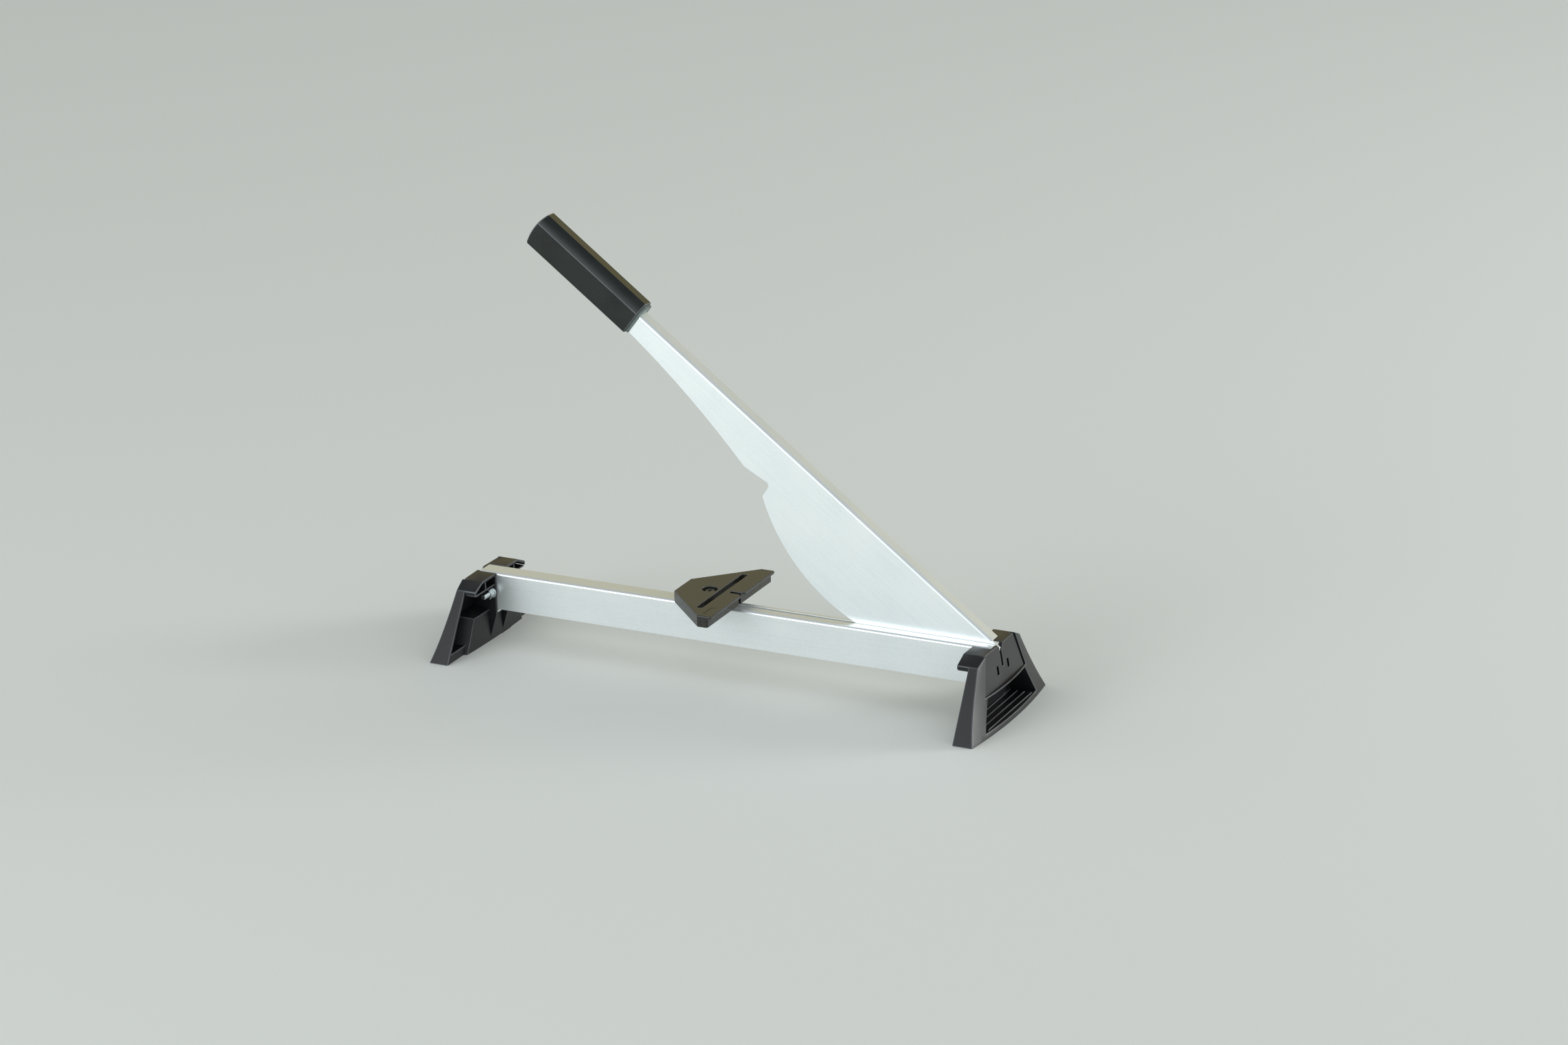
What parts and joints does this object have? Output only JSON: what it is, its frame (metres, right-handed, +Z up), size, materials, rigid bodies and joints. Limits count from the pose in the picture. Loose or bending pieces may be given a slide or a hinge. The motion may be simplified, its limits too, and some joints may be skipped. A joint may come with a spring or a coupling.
{
  "type": "laminate cutter",
  "caption": "Lever cutter for laminate floor panels: a hinged steel blade with a moulded grip drops through a slotted beam on plastic feet, beside a swivelling fence.",
  "frame": {"origin": "on the floor, under the middle of the beam", "axes": "+X runs along the beam towards the lever's pivot, +Y points to the back, +Z is up"},
  "size_m": [0.5664, 0.179, 0.4236],
  "materials": {
    "black_plastic": "fine grained black moulding",
    "grip_rubber": "satin black soft moulding",
    "zinc_steel": "zinc plated",
    "blade_steel": "bright plated sheet"
  },
  "bodies": {
    "frame": {"beam": "zinc_steel", "foot_left": "black_plastic", "foot_right": "black_plastic", "foot_bolt": "zinc_steel", "foot_bolt_nut": "zinc_steel", "foot_bolt_washer_front": "zinc_steel", "foot_bolt_washer_rear": "zinc_steel", "foot_bolt_sleeve": "zinc_steel", "pivot_bolt": "zinc_steel", "pivot_nut": "zinc_steel", "pivot_washer_front": "zinc_steel", "pivot_washer_rear": "zinc_steel", "pivot_spacer_front": "zinc_steel", "pivot_spacer_rear": "zinc_steel", "rest_pin_left": "zinc_steel", "rest_pin_right": "zinc_steel", "stop_screw": "zinc_steel", "stop_nut": "zinc_steel"},
    "lever": {"lever_blade": "blade_steel", "grip_core": "black_plastic", "grip_sleeve": "grip_rubber"},
    "stop": {"stop_plate": "black_plastic", "stop_washer": "zinc_steel"}
  },
  "joints": [
    {"name": "lever_hinge", "type": "hinge", "parent": "frame", "child": "lever", "pos_m": [0.2513, 0.0025, 0.0495], "axis": [0, 1, 0], "range_deg": [-26, 5.5]},
    {"name": "stop_swivel", "type": "hinge", "parent": "frame", "child": "stop", "pos_m": [-0.0256, 0.0025, 0.0745], "axis": [0, 0, 1], "range_deg": [-2, 2]}
  ]
}
